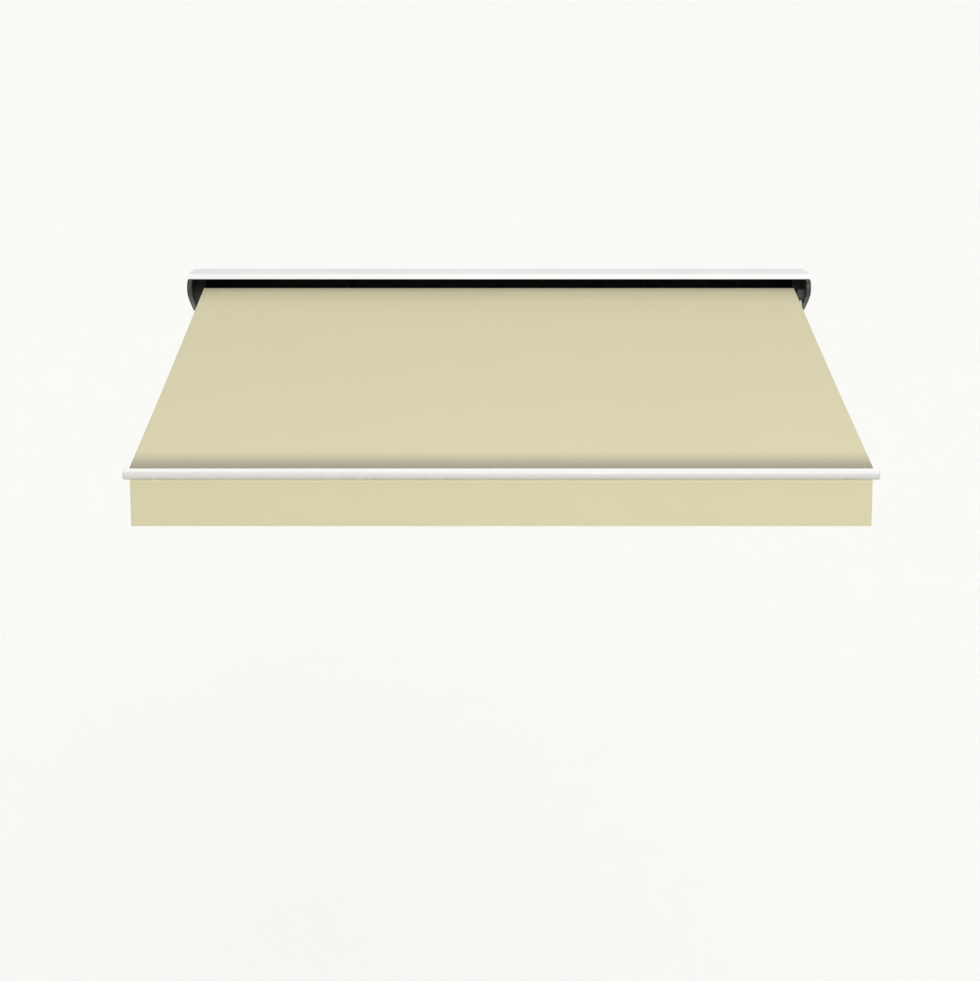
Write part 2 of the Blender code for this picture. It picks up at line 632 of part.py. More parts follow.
def build():
    """Make every piece, fixed ones first and then those on each moving frame."""
    clear_scene()
    torsion_bar()
    for place, x in (("left", -BRACKET_X), ("middle", 0), ("right", BRACKET_X)):
        wall_bracket(place, x)
    hood()
    idler_bearing()
    gearbox()
    canvas()
    roller(empty("roller_axis", location=(0, -ROLLER_DEPTH, ROLLER_Z)))
    crank(empty("crank_axis", location=(GEAR_X, -CRANK_DEPTH, 0)))
    for side, sign in SIDES.items():
        hood_end_cap(side, sign)
        hood_support(side, sign)
        roller_end_plate(side, sign)
        turn = -sign * REST_ANGLE
        at = side_view(SHOULDER_DEPTH, SHOULDER_Z, sign * SHOULDER_X)
        shoulder = empty(f"shoulder_{side}", location=at, turn=(PITCH, 0, 0))
        upper = empty(f"upper_arm_{side}", shoulder, turn=(0, 0, turn))
        fore = empty(f"forearm_{side}", upper, (0, -ARM_LENGTH, 0), (0, 0, -2 * turn))
        shoulder_bracket(side, sign, shoulder)
        upper_arm(side, sign, upper)
        forearm(side, sign, fore)
        if side == "left":
            pitched = empty("wrist_plane", fore, (0, -ARM_LENGTH, 0), (0, 0, turn))
            level = empty("front_bar_axis", pitched, turn=(-PITCH, 0, 0))
            reach = 2 * ARM_LENGTH * math.cos(REST_ANGLE)
            wrist = at + reach * Vector((0, -math.cos(PITCH), -math.sin(PITCH)))
    front_bar(level, wrist)
    valance(level, wrist)
    for side, sign in SIDES.items():
        wrist_bracket(side, sign, level, pitched, wrist)


build()
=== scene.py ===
# %% [markdown]
# # A folding-arm awning
#
# This lesson dresses a wall-hung awning. The engineering model already exists: brackets, a torsion bar, a
# roller, two elbow arms and a front bar, each with its real size. Here the parts that meet the eye get
# their final shape and every surface gets its finish. The awning hangs on the wall plane y = 0 and stands
# out towards -Y. All sizes are metres.

# %% Load the frame
import math

import bmesh
import bpy
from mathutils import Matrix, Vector


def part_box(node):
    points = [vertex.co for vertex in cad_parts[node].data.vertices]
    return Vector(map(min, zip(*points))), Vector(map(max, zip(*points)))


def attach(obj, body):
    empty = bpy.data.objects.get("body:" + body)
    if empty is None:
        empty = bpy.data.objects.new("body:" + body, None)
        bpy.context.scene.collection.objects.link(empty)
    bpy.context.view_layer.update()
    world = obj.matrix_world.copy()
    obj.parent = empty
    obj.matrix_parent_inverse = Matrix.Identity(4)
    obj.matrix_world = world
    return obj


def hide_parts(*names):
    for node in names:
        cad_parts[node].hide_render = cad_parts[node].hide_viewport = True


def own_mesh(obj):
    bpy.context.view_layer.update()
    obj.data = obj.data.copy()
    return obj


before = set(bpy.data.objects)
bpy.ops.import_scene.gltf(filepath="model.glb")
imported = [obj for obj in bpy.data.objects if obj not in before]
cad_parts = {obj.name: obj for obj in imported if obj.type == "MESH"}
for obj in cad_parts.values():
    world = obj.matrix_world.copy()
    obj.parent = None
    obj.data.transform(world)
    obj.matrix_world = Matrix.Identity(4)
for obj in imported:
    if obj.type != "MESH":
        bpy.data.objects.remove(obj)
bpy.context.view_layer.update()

# %% [markdown]
# ## The camera
#
# The awning is looked at from the street, straight on and a little below the cloth's lower end, from about
# nine metres. A level camera keeps every upright line upright. A lens of moderate length keeps the cloth's
# sloping sides from spreading too much. Fitting the sensor by its width keeps the framing the same on any
# picture that is nearly square.

# %% Set up the camera
CAMERA_PLACE = (-0.0435, -8.96, -0.86)
LENS_MM = 66.75
bpy.ops.object.camera_add(location=CAMERA_PLACE, rotation=(math.radians(90), 0, 0))
camera = bpy.context.object
camera.name = "street_camera"
camera.data.sensor_fit = "HORIZONTAL"
camera.data.sensor_width = 36.0
camera.data.lens = LENS_MM
camera.data.clip_end = 100.0
bpy.context.scene.camera = camera
print("camera lens", round(camera.data.lens, 2), "mm")

# %% [markdown]
# ## Small tools for working by hand
#
# The same few moves come back for every piece: start with nothing selected, pick vertices or edges by where
# they are, and finish a mesh so that its object sits at the origin with its place in the mesh. An outline
# is drawn the way one draws it by hand, as one vertex that is extruded from point to point.

# %% Define the modelling helpers
def deselect_all():
    """Leave edit mode and select nothing."""
    if bpy.context.object and bpy.context.object.mode != "OBJECT":
        bpy.ops.object.mode_set(mode="OBJECT")
    bpy.ops.object.select_all(action="DESELECT")


def pick(piece, kind, test):
    """In edit mode, select the verts, edges or faces whose middle passes the test."""
    mesh = bmesh.from_edit_mesh(piece.data)
    mesh.select_mode = {kind[:-1].upper()}
    for part in (*mesh.verts, *mesh.edges, *mesh.faces):
        part.select_set(False)
    chosen = 0
    for part in getattr(mesh, kind):
        if kind == "verts":
            middle = part.co
        else:
            middle = sum((v.co for v in part.verts), Vector()) / len(part.verts)
        if test(part, piece.matrix_world @ middle):
            part.select_set(True)
            chosen += 1
    mesh.select_flush_mode()
    bmesh.update_edit_mesh(piece.data)
    return chosen


def draw(name, points, closed=True):
    """Draw an outline by hand: a plane merged to one vertex, extruded from point to point."""
    deselect_all()
    bpy.ops.mesh.primitive_plane_add(size=0.01, location=points[0])
    piece = bpy.context.object
    piece.name = piece.data.name = name
    bpy.ops.object.mode_set(mode="EDIT")
    bpy.ops.mesh.select_mode(type="VERT")
    bpy.ops.mesh.select_all(action="SELECT")
    bpy.ops.mesh.merge(type="CENTER")
    for start, end in zip(points, points[1:]):
        step = Vector(end) - Vector(start)
        bpy.ops.mesh.extrude_vertices_move(TRANSFORM_OT_translate={"value": step})
    if closed:
        ends = (Vector(points[0]), Vector(points[-1]))
        pick(piece, "verts", lambda v, at: any((at - end).length < 1e-5 for end in ends))
        bpy.ops.mesh.edge_face_add()
        bpy.ops.mesh.select_all(action="SELECT")
        bpy.ops.mesh.edge_face_add()
    bpy.ops.mesh.select_all(action="SELECT")
    return piece


def carry(step):
    """Extrude what is selected by a step, in edit mode."""
    bpy.ops.mesh.extrude_region_move(TRANSFORM_OT_translate={"value": step})


def apply_modifier(piece, kind, **settings):
    """Add a modifier with its settings and apply it."""
    change = piece.modifiers.new(kind.lower(), kind)
    for name, value in settings.items():
        setattr(change, name, value)
    bpy.ops.object.modifier_apply(modifier=change.name)


def settle(piece, smooth_below=35):
    """Back to object mode, with the place in the mesh, and smooth shading on the gentle bends."""
    deselect_all()
    bpy.context.view_layer.objects.active = piece
    piece.select_set(True)
    bpy.ops.object.transform_apply(location=True, rotation=True, scale=True)
    bpy.ops.object.shade_smooth_by_angle(angle=math.radians(smooth_below))


def close_outward(piece):
    """Turn every face of a closed shape outwards, in edit mode."""
    bpy.ops.mesh.select_all(action="SELECT")
    bpy.ops.mesh.remove_doubles(threshold=1e-6)
    bpy.ops.mesh.normals_make_consistent(inside=False)


def section(points, x):
    """Points of a side section, given as distance from the wall and height, placed at x."""
    return [(x, -depth, height) for depth, height in points]


def arc(centre, across, up, start, stop, steps):
    """Points of an arc in a side section, angles in degrees from straight out, counted upwards."""
    turns = [math.radians(start + (stop - start) * n / steps) for n in range(steps + 1)]
    return [(centre[0] + across * math.cos(t), centre[1] + up * math.sin(t)) for t in turns]


print("modelling helpers ready")

# %% [markdown]
# ## Building finishes from nodes
#
# A finish is a small graph of shader nodes. Two helpers keep the graphs readable: one adds a node and fills
# or links its sockets by name, the other mixes two colours. Values that are the same all over a surface are
# set on the shader itself.

# %% Define the finish helpers
def node(tree, kind, inputs=None, **settings):
    """Add a node; each named input gets a value or another node's output."""
    made = tree.nodes.new("ShaderNode" + kind)
    for name, value in settings.items():
        setattr(made, name, value)
    for name, value in (inputs or {}).items():
        if isinstance(value, bpy.types.NodeSocket):
            tree.links.new(value, made.inputs[name])
        else:
            made.inputs[name].default_value = value
    return made


def mix(tree, share, first, second, kind="MIX"):
    """Mix two colours, each a colour or an output, by a share that is an output."""
    made = tree.nodes.new("ShaderNodeMix")
    made.data_type = "RGBA"
    made.blend_type = kind
    if isinstance(share, bpy.types.NodeSocket):
        tree.links.new(share, made.inputs[0])
    else:
        made.inputs[0].default_value = share
    for socket, colour in ((made.inputs[6], first), (made.inputs[7], second)):
        if isinstance(colour, bpy.types.NodeSocket):
            tree.links.new(colour, socket)
        else:
            socket.default_value = (*colour, 1.0)
    return made.outputs[2]


def ramp(tree, value, low, high, to_low=0.0, to_high=1.0):
    """Map a value from one range to another, with soft ends."""
    ranges = {"Value": value, "From Min": low, "From Max": high, "To Min": to_low, "To Max": to_high}
    return node(tree, "MapRange", ranges, interpolation_type="SMOOTHSTEP").outputs["Result"]


def math_node(tree, operation, first, second=0.0):
    """One step of arithmetic on two numbers or outputs."""
    made = tree.nodes.new("ShaderNodeMath")
    made.operation = operation
    for socket, value in zip(made.inputs, (first, second)):
        if isinstance(value, bpy.types.NodeSocket):
            tree.links.new(value, socket)
        else:
            socket.default_value = value
    return made.outputs[0]


def start_finish(name, roughness, metallic=0.0):
    """A material with its shader, ready for a colour and a bump."""
    material = bpy.data.materials.new(name)
    material.use_nodes = True
    shader = material.node_tree.nodes["Principled BSDF"]
    shader.inputs["Roughness"].default_value = roughness
    shader.inputs["Metallic"].default_value = metallic
    return material, material.node_tree, shader


def noise(tree, place, scale, detail=2.0):
    """A cloudy pattern's value at a scale, in cells per metre."""
    return node(tree, "TexNoise", {"Vector": place, "Scale": scale, "Detail": detail}).outputs["Fac"]


def bump(tree, shader, height, strength, depth):
    """Raise the surface by a pattern."""
    made = node(tree, "Bump", {"Height": height, "Strength": strength, "Distance": depth})
    tree.links.new(made.outputs["Normal"], shader.inputs["Normal"])


print("finish helpers ready")

# %% [markdown]
# ## Powder coat
#
# Outdoor aluminium is powder coated: a baked plastic skin with a faint orange-peel surface. It could be one
# flat colour, but then every part looks like one sheet of paper. A slow, weak cloud in the colour and the
# roughness stands for weather, and a fine noise in the bump makes the peel. On the hood, faces that point up
# are painted greyer as painted shade, so the finish reads the surface's own direction. The front bar's coat
# carries a painted shade that darkens it downwards: its top stays light and its underside turns grey.

# %% Make the powder coats
def powder_coat(name, colour, aged, roughness, up_face_shade=None, underside_shade=None, underside_shade_from=0.0, underside_shade_to=1.0):
    """A baked paint with a slightly aged second tone, and if wanted a painted shade on faces that point up or
    a painted shade that darkens it downwards.
    """
    material, tree, shader = start_finish(name, roughness)
    place = node(tree, "TexCoord").outputs["Object"]
    cloud = ramp(tree, noise(tree, place, 3.5, 4.0), 0.35, 0.7)
    shade = mix(tree, cloud, colour, aged)
    # Painted shade: the coat turns darker downwards over a band of heights.
    if underside_shade:
        height = node(tree, "SeparateXYZ", {"Vector": place}).outputs["Z"]
        shade = mix(tree, ramp(tree, height, underside_shade_from, underside_shade_to), shade, underside_shade)
    # Painted shade: faces that point up are painted greyer.
    if up_face_shade:
        up = node(tree, "SeparateXYZ", {"Vector": node(tree, "NewGeometry").outputs["Normal"]}).outputs["Z"]
        up_face_shade_share = math_node(tree, "MULTIPLY", ramp(tree, up, 0.6, 0.95), ramp(tree, cloud, 0.0, 1.0, 0.8, 1.0))
        shade = mix(tree, up_face_shade_share, shade, up_face_shade)
    tree.links.new(shade, shader.inputs["Base Color"])
    uneven = ramp(tree, cloud, 0.0, 1.0, roughness - 0.04, roughness + 0.06)
    tree.links.new(uneven, shader.inputs["Roughness"])
    bump(tree, shader, noise(tree, place, 650.0), 0.08, 0.0004)
    return material


# Painted shade: the hood's faces that point up are painted greyer.
hood_paint = powder_coat("hood_paint", (0.86, 0.86, 0.87), (0.82, 0.82, 0.83), 0.36, up_face_shade=(0.76, 0.74, 0.78))
bar_low, bar_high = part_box("front_bar")
# Painted shade on the front bar: its coat turns grey from 3 mm to 21 mm below its top.
UNSHADED_DEPTH = 0.003
SHADED_DEPTH = 0.021
bar_paint = powder_coat(
    "bar_paint", (0.80, 0.80, 0.785), (0.78, 0.78, 0.765), 0.28,
    underside_shade=(0.57, 0.565, 0.55), underside_shade_from=bar_high.z - UNSHADED_DEPTH, underside_shade_to=bar_high.z - SHADED_DEPTH,
)
arm_paint = powder_coat("arm_paint", (0.80, 0.81, 0.80), (0.74, 0.75, 0.74), 0.38)
bracket_paint = powder_coat("bracket_paint", (0.77, 0.78, 0.77), (0.70, 0.71, 0.70), 0.42)
print("powder coats:", hood_paint.name, bar_paint.name, arm_paint.name, bracket_paint.name)

# %% [markdown]
# ## Castings, plastic and steel
#
# The hinges are die-cast aluminium, painted but rougher than sheet. The end caps are moulded plastic with a
# fine matt grain. The torsion bar and roller are galvanised, which shows as flat zinc crystals a few
# millimetres across. Pins and screws are bright turned steel, and the arm springs are darker oiled wire.
# Each is the same short graph with another pattern: noise for grain, Voronoi cells for zinc, stretched
# noise for tool marks.

# %% Make the hard finishes
def grained(name, colour, second, roughness, scale, strength, gloss=0.5):
    """A matt surface with a fine grain of its own scale."""
    material, tree, shader = start_finish(name, roughness)
    shader.inputs["Specular IOR Level"].default_value = gloss
    place = node(tree, "TexCoord").outputs["Object"]
    cloud = ramp(tree, noise(tree, place, 14.0, 3.0), 0.3, 0.7)
    tree.links.new(mix(tree, cloud, colour, second), shader.inputs["Base Color"])
    bump(tree, shader, noise(tree, place, scale, 3.0), strength, 0.0005)
    return material


def galvanised(name):
    """Hot-dip zinc: crystals that differ a little in tone and gloss."""
    material, tree, shader = start_finish(name, 0.42, 1.0)
    place = node(tree, "TexCoord").outputs["Object"]
    cells = node(tree, "TexVoronoi", {"Vector": place, "Scale": 130.0})
    tone = node(tree, "SeparateXYZ", {"Vector": cells.outputs["Color"]}).outputs["X"]
    tree.links.new(mix(tree, tone, (0.50, 0.52, 0.54), (0.66, 0.68, 0.70)), shader.inputs["Base Color"])
    tree.links.new(ramp(tree, tone, 0.0, 1.0, 0.36, 0.52), shader.inputs["Roughness"])
    bump(tree, shader, noise(tree, place, 220.0), 0.06, 0.0004)
    return material


def turned_steel(name, colour, roughness):
    """Steel with fine tool marks across it."""
    material, tree, shader = start_finish(name, roughness, 1.0)
    place = node(tree, "TexCoord").outputs["Object"]
    fine = node(tree, "Mapping", {"Vector": place, "Scale": (300.0, 300.0, 2500.0)}).outputs["Vector"]
    marks = noise(tree, fine, 1.0)
    darker = tuple(c * 0.8 for c in colour)
    tree.links.new(mix(tree, marks, colour, darker), shader.inputs["Base Color"])
    bump(tree, shader, marks, 0.10, 0.0002)
    return material


arm_casting = grained("arm_casting", (0.70, 0.71, 0.70), (0.64, 0.65, 0.64), 0.48, 420.0, 0.25)
dark_plastic = grained("dark_plastic", (0.016, 0.022, 0.017), (0.024, 0.031, 0.025), 0.42, 900.0, 0.15)
black_plastic = grained("black_plastic", (0.012, 0.012, 0.013), (0.020, 0.020, 0.021), 0.50, 900.0, 0.15)
# Painted shade: a near-black finish for the hood's inside, its supports and the roller's end plates, which
# sit in shade.
painted_shade_black = grained(
    "painted_shade_black", (0.0035, 0.0040, 0.0037), (0.0050, 0.0055, 0.0052), 0.80, 300.0, 0.20, gloss=0.1
)
zinc_steel = galvanised("zinc_steel")
bright_steel = turned_steel("bright_steel", (0.62, 0.62, 0.63), 0.28)
spring_steel = turned_steel("spring_steel", (0.16, 0.15, 0.14), 0.40)
print("hard finishes: 7")

# %% [markdown]
# ## Awning cloth
#
# Awning cloth is a dense plain weave of spun acrylic, dyed right through. The weave follows the cloth, so
# its pattern reads the UV map, which holds real metres across and along the cloth. Two wave patterns stand
# for the warp and the weft. Along the side hems run two rows of stitches. The cloth next to the roller,
# which the hood shades, is painted lighter as painted light, and its last hand's breadth before the front
# bar is painted darker as painted shade.

# %% Make the cloth finishes
THREAD = 0.0008
STITCH = 0.0042
STITCH_GAP = 0.14
HALF_THREAD = 0.0006
# Painted light: how much lighter the cloth is painted where the hood or the bar shades it.
PAINTED_LIGHT_TONE = 1.5


def toned(colour, factor):
    """A colour made lighter or darker, no lighter than white."""
    return tuple(min(1.0, part * factor) for part in colour)


def woven(
    name, colour, second, half_width, stitch_rows, painted_light_to=0.0, painted_shade_from=0.0, painted_shade_to=0.0, painted_shade=None
):
    """A plain weave with stitch rows at distances from its sides, a start painted lighter as painted light
    and an end painted darker as painted shade.
    """
    material, tree, shader = start_finish(name, 0.88)
    shader.inputs["Sheen Weight"].default_value = 0.15
    shader.inputs["Sheen Roughness"].default_value = 0.5
    shader.inputs["Specular IOR Level"].default_value = 0.25
    place = node(tree, "TexCoord").outputs["UV"]
    parts = node(tree, "SeparateXYZ", {"Vector": place})
    across, along = parts.outputs["X"], parts.outputs["Y"]
    bands = math.tau / (20 * THREAD)
    warp = node(tree, "TexWave", {"Vector": place, "Scale": bands}, bands_direction="X").outputs["Fac"]
    weft = node(tree, "TexWave", {"Vector": place, "Scale": bands}, bands_direction="Y").outputs["Fac"]
    weave = math_node(tree, "MULTIPLY", warp, weft)
    slub = node(tree, "Mapping", {"Vector": place, "Scale": (900.0, 14.0, 1.0)}).outputs["Vector"]
    streaks = noise(tree, slub, 1.0)
    clouds = ramp(tree, noise(tree, place, 2.2, 4.0), 0.3, 0.7)
    shade = mix(tree, math_node(tree, "MULTIPLY", clouds, 0.4), colour, second)
    shade = mix(tree, math_node(tree, "MULTIPLY", streaks, 0.06), shade, toned(colour, 0.75))
    shade = mix(tree, math_node(tree, "MULTIPLY", weave, 0.10), shade, toned(colour, 1.25))
    height = weave
    inset = math_node(tree, "SUBTRACT", half_width, math_node(tree, "ABSOLUTE", across))
    stroke = math_node(tree, "PINGPONG", along, STITCH / 2)
    dash = math_node(tree, "GREATER_THAN", stroke, STITCH * STITCH_GAP)
    for row in stitch_rows:
        off = math_node(tree, "ABSOLUTE", math_node(tree, "SUBTRACT", inset, row))
        line = math_node(tree, "LESS_THAN", off, HALF_THREAD)
        thread = math_node(tree, "MULTIPLY", line, dash)
        shade = mix(tree, thread, shade, toned(colour, 0.90))
        height = math_node(tree, "ADD", height, thread)
    # Painted light: the cloth is painted lighter towards its start.
    if painted_light_to:
        shade = mix(tree, ramp(tree, along, painted_light_to, 0.0), shade, toned(colour, PAINTED_LIGHT_TONE))
    # Painted shade: the cloth is painted darker towards its end.
    if painted_shade:
        share = ramp(tree, along, painted_shade_from, painted_shade_to)
        shade = mix(tree, share, shade, mix(tree, 1.0, shade, painted_shade, "MULTIPLY"))
    tree.links.new(shade, shader.inputs["Base Color"])
    bump(tree, shader, height, 0.25, 0.0003)
    return material


CREAM = (0.590, 0.550, 0.360)
CREAM_AGED = (0.578, 0.540, 0.352)
# Painted light: the cream made lighter, for cloth in the hood's shade.
CREAM_PAINTED_LIGHT = toned(CREAM, PAINTED_LIGHT_TONE)
STITCH_ROWS = (0.004, 0.016)
print("cloth finish helper ready")

# %% [markdown]
# ## Where the cloth runs
#
# The cloth leaves the top of its roll at one slope and drops into a groove on top of the front bar. Its
# line is computed from the engineering model: the roll's box gives the roller's axis and radius, and the
# canvas solid's box gives the groove. A cloth that two springs keep tight still sags by a few millimetres
# and carries very faint ripples, which keep its broad surface from looking like a board.

# %% Find the cloth's line
turns_low, turns_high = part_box("canvas_turns")
canvas_low, canvas_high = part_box("canvas")
axis = Vector((0.0, (turns_low.y + turns_high.y) / 2, (turns_low.z + turns_high.z) / 2))
roll_radius = (turns_high.z - turns_low.z) / 2
PITCH = math.radians(26.1)
down_slope = Vector((0.0, -math.cos(PITCH), -math.sin(PITCH)))
off_slope = Vector((0.0, -math.sin(PITCH), math.cos(PITCH)))
CLOTH_LIFT = 0.0008
tangent = axis + off_slope * (roll_radius + CLOTH_LIFT)
EDGE_GAP = 0.0008
groove = Vector((0.0, canvas_low.y + EDGE_GAP, bar_high.z))
slope_length = (groove - tangent).dot(down_slope)
canvas_width = canvas_high.x - canvas_low.x
print("roll radius", round(roll_radius, 4), "slope", round(slope_length, 4), "width", round(canvas_width, 3))

# %% [markdown]
# ## Cloth meshes
#
# A cloth is a grid of faces whose two directions are the weave's own. Building it from two lists of
# distances puts rows close together where the cloth bends and far apart where it is flat, and the same
# distances become its UV map in metres. A Solidify modifier then gives it a real thickness, and its cut
# edge is kept sharp so that the flat side is not shaded as if it rolled over. A simulation would add
# nothing to a cloth that springs pull flat, so its small sag and ripples are written as a sum of slow
# waves.

# %% Define the cloth builder
CLOTH_THICKNESS = 0.0007


def spread(start, stop, count):
    """Evenly spaced distances, both ends included."""
    return [start + (stop - start) * n / count for n in range(count + 1)]


def cloth(name, columns, rows, place, finish, thickness=CLOTH_THICKNESS):
    """A cloth from distances across and along it; place gives the point for each pair."""
    mesh = bmesh.new()
    layer = mesh.loops.layers.uv.new("metres")
    grid = [[mesh.verts.new(place(a, b)) for a in columns] for b in rows]
    for r in range(len(rows) - 1):
        for c in range(len(columns) - 1):
            corners = ((r, c), (r, c + 1), (r + 1, c + 1), (r + 1, c))
            face = mesh.faces.new([grid[i][j] for i, j in corners])
            face.smooth = True
            for loop, (i, j) in zip(face.loops, corners):
                loop[layer].uv = (columns[j], rows[i])
    bmesh.ops.reverse_faces(mesh, faces=mesh.faces)
    data = bpy.data.meshes.new(name)
    mesh.to_mesh(data)
    mesh.free()
    piece = bpy.data.objects.new(name, data)
    bpy.context.scene.collection.objects.link(piece)
    deselect_all()
    bpy.context.view_layer.objects.active = piece
    piece.select_set(True)
    apply_modifier(piece, "SOLIDIFY", thickness=thickness, offset=0.0)
    bpy.ops.object.shade_smooth_by_angle(angle=math.radians(40))
    data = piece.data
    data.materials.append(finish)
    print(name, "faces", len(data.polygons))
    return piece


# %% [markdown]
# ## The big cloth
#
# The main cloth is one stretched sheet. It keeps to the slope, sags by six millimetres at its middle and
# turns down into the front bar's groove, where a plastic rod holds its hem. When the arms fold, the real
# cloth winds onto the roller.

# %% Make the big cloth
SAG = 0.006
BEND_BEFORE = 0.0040
BEND_LENGTH = 0.0092
BEND_DROP = 0.0022
END_GAP = 0.0004
bend_start = slope_length - BEND_BEFORE
cloth_end = bend_start + BEND_LENGTH


def cloth_point(across, along, below=0.0):
    """A point of the cloth, or of a layer below it."""
    if along <= bend_start:
        t = along / bend_start
        broad = 0.0007 * math.sin(math.tau * across / 0.43 + 1.1)
        narrow = 0.0004 * math.sin(math.tau * across / 0.19)
        rise = -4 * SAG * t * (1 - t) + (broad + narrow) * math.sin(math.pi * t) - below
        return tangent + down_slope * along + off_slope * rise + Vector((across, 0.0, 0.0))
    t = (along - bend_start) / (cloth_end - bend_start)
    start = tangent + down_slope * bend_start
    turn = Vector((0.0, groove.y, start.z - BEND_DROP))
    end = Vector((0.0, groove.y, canvas_low.z + END_GAP))
    point = start * (1 - t) ** 2 + turn * (2 * t * (1 - t)) + end * t ** 2
    return point + Vector((across, 0.0, 0.0))


half_cloth = canvas_width / 2
# Painted light lightens the cloth's first 12 cm by the roll, and painted shade darkens it over the last 17 cm
# before the bend into the front bar.
canvas_finish = woven(
    "cream_cloth", CREAM, CREAM_AGED, half_cloth, STITCH_ROWS, painted_light_to=0.12,
    painted_shade_from=bend_start - 0.17, painted_shade_to=bend_start + 0.02, painted_shade=(0.50, 0.50, 0.56),
)
cloth_rows = spread(0.0, bend_start, 60) + spread(bend_start, cloth_end, 6)[1:]
canvas = cloth("canvas_cloth", spread(-half_cloth, half_cloth, 72), cloth_rows, cloth_point, canvas_finish)
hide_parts("canvas")
HEM = 0.020
HEM_BELOW = 0.0009
hem_rows = spread(0.004, bend_start - 0.012, 60)
hems = []
for side, sign in (("left", -1), ("right", 1)):
    edge = sorted((sign * half_cloth, sign * (half_cloth - HEM)))
    hem = cloth(
        "canvas_hem_" + side, spread(*edge, 3), hem_rows,
        lambda a, b: cloth_point(a, b, below=HEM_BELOW), canvas_finish,
    )
    hems.append(hem)
print("cloth along its slope:", round(cloth_end, 3), "m")

# %% [markdown]
# ## The turns on the roller
#
# Some cloth always stays on the roller, even with the awning fully out. It is modelled as what it is, a
# spiral of two turns with air between them, so that the roller's ends show the edge of each turn. Its outer
# end meets the big cloth where that leaves the roll.

# %% Wind the turns
TURNS = 2.15
TURN_GAP = 0.00095
wound_radius = roll_radius - 0.001


def turn_point(across, along):
    """A point of the spiral; along is measured back from where the cloth leaves the roll."""
    turned = along / wound_radius
    radius = roll_radius + 0.0002 - CLOTH_THICKNESS / 2 - TURN_GAP * turned / math.tau
    angle = math.pi / 2 + PITCH - turned
    return axis + Vector((across, -radius * math.cos(angle), radius * math.sin(angle)))


wound = TURNS * math.tau * wound_radius
# Painted light: the turns on the roll are painted lighter all over.
turns = cloth(
    "cloth_turns", spread(-half_cloth, half_cloth, 24), spread(0.0, wound, 140), turn_point,
    woven("cream_cloth_rolled_painted_light", CREAM_PAINTED_LIGHT, CREAM_PAINTED_LIGHT, half_cloth, STITCH_ROWS),
)
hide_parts("canvas_turns")
print("cloth on the roll:", round(wound, 3), "m")

# %% [markdown]
# ## The valance
#
# The valance is the short strip that hangs from the front bar. It is held only along its top, so it hangs
# in very shallow waves that grow downwards. Its lower edge is turned back and sewn, which doubles it for
# about eighteen millimetres. The fold is part of the same mesh: the strip runs down, turns round and runs
# up again. It faces the light more squarely than the big cloth, so its cream is painted a shade darker as
# painted shade, and its top under the bar is painted lighter as painted light.

# %% Make the valance
valance_low, valance_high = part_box("valance")
valance_width = valance_high.x - valance_low.x
VALANCE_ENTRY = 0.0045
FOOT_INSET = 0.0026
valance_top = Vector((0.0, valance_low.y + EDGE_GAP, valance_high.z))
valance_foot = Vector((0.0, valance_high.y - FOOT_INSET, valance_low.z + END_GAP))
valance_bend = valance_top + Vector((0.0, 0.0, -VALANCE_ENTRY))
hang = (valance_foot - valance_bend).normalized()
hang_length = (valance_foot - valance_bend).length
behind = Vector((0.0, -hang.z, hang.y))
FOLD_RADIUS = 0.0009
FOLD_HEIGHT = 0.018
VALANCE_PAINTED_SHADE = 0.925
fold_length = math.pi * FOLD_RADIUS


def valance_point(across, along):
    """A point of the valance, measured down from its rod and then back up the fold."""
    if along < VALANCE_ENTRY:
        return valance_top + Vector((across, 0.0, -along))
    down = along - VALANCE_ENTRY
    level = min(down, hang_length)
    wave = math.sin(math.tau * across / 0.62 + 0.7) + 0.6 * math.sin(math.tau * across / 0.27 + 2.0)
    out = behind * (0.0009 * wave * (level / hang_length) ** 1.5)
    if down <= hang_length:
        return valance_bend + hang * down + out + Vector((across, 0.0, 0.0))
    beyond = down - hang_length
    if beyond < fold_length:
        turn = beyond / FOLD_RADIUS
        fold = hang * math.sin(turn) * FOLD_RADIUS + behind * FOLD_RADIUS * (1 - math.cos(turn))
    else:
        fold = behind * (2 * FOLD_RADIUS) - hang * (beyond - fold_length)
    return valance_foot + out + fold + Vector((across, 0.0, 0.0))


half_valance = valance_width / 2
fold_start = VALANCE_ENTRY + hang_length
valance_length = VALANCE_ENTRY + hang_length + fold_length + FOLD_HEIGHT
valance_rows = spread(0.0, VALANCE_ENTRY, 2) + spread(VALANCE_ENTRY, fold_start, 22)[1:]
valance_rows += spread(fold_start, fold_start + fold_length, 6)[1:]
valance_rows += spread(valance_length - FOLD_HEIGHT, valance_length, 4)[1:]
# Painted shade: the valance's cream is darkened; painted light lightens its top under the bar.
valance_shaded, valance_shaded_aged = ([c * VALANCE_PAINTED_SHADE for c in tone] for tone in (CREAM, CREAM_AGED))
valance_finish = woven("cream_valance", valance_shaded, valance_shaded_aged, half_valance, STITCH_ROWS[:1], painted_light_to=0.018)
valance = cloth(
    "valance_cloth", spread(-half_valance, half_valance, 150), valance_rows, valance_point, valance_finish
)
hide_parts("valance")
print("valance hangs", round(hang_length, 3), "m with a", FOLD_HEIGHT, "m hem")

# %% [markdown]
# ## The hood
#
# The hood is one long aluminium sheet, folded along its back and rolled over at its front edge into a lip.
# By hand, its section is drawn as a line, extruded across the whole width, bevelled where it bends and
# given its thickness towards the inside. Solidify also hands the inner skin a second finish: the coating
# outside is white, and the inside is near black as painted shade.

